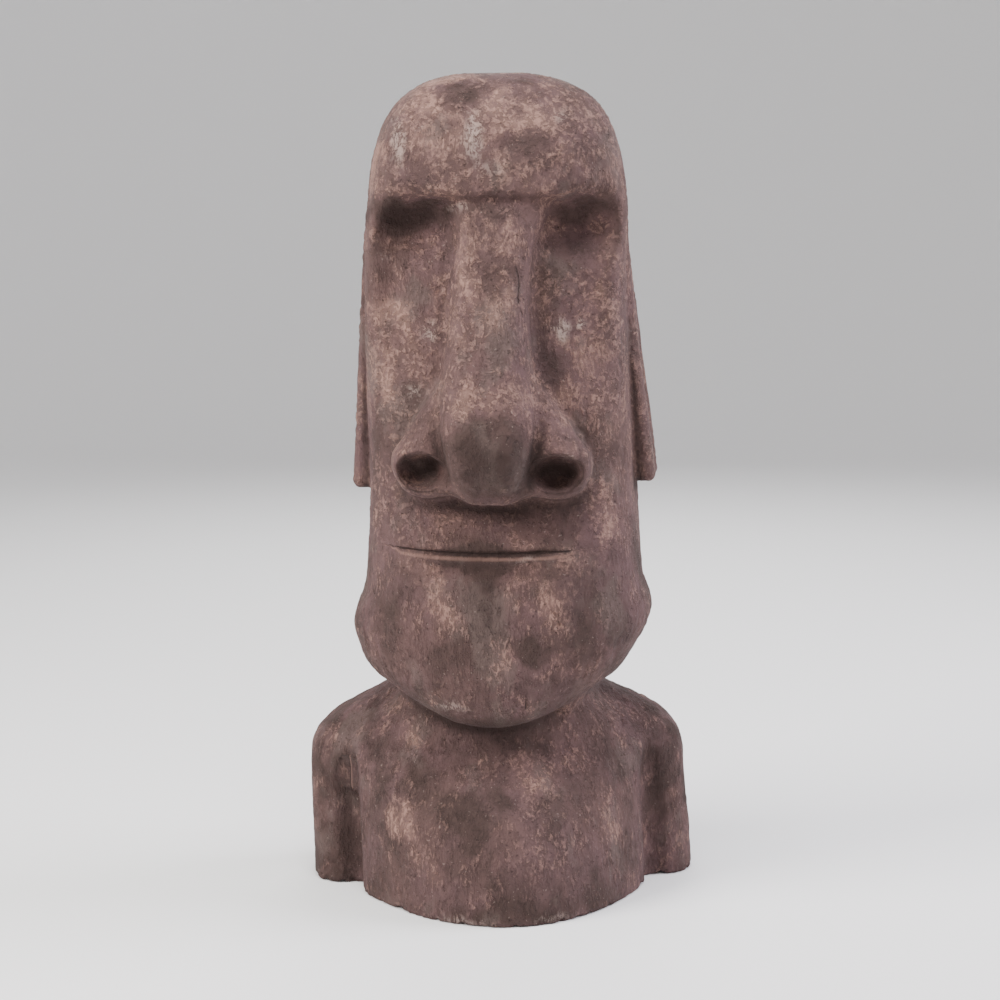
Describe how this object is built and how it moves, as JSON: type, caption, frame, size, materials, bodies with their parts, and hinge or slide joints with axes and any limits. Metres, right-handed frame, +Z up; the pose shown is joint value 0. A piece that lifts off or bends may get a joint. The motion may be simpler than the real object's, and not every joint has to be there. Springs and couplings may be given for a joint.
{
  "type": "moai stone head statue",
  "caption": "Garden statue of a moai: a long stone head with heavy brow, broad nose and long ears on squared shoulders, cast in one piece with a flat underside.",
  "frame": {"origin": "middle of the flat underside, on the surface the statue stands on", "axes": "+Z up, the face looks along -Y, +X is the statue's own left, on the right as seen from the front"},
  "size_m": [0.4823, 0.337, 1],
  "materials": {
    "stone": "dry-brushed cast stone, rough and matt"
  },
  "bodies": {
    "root": {"moai_statue": "stone"}
  },
  "joints": []
}
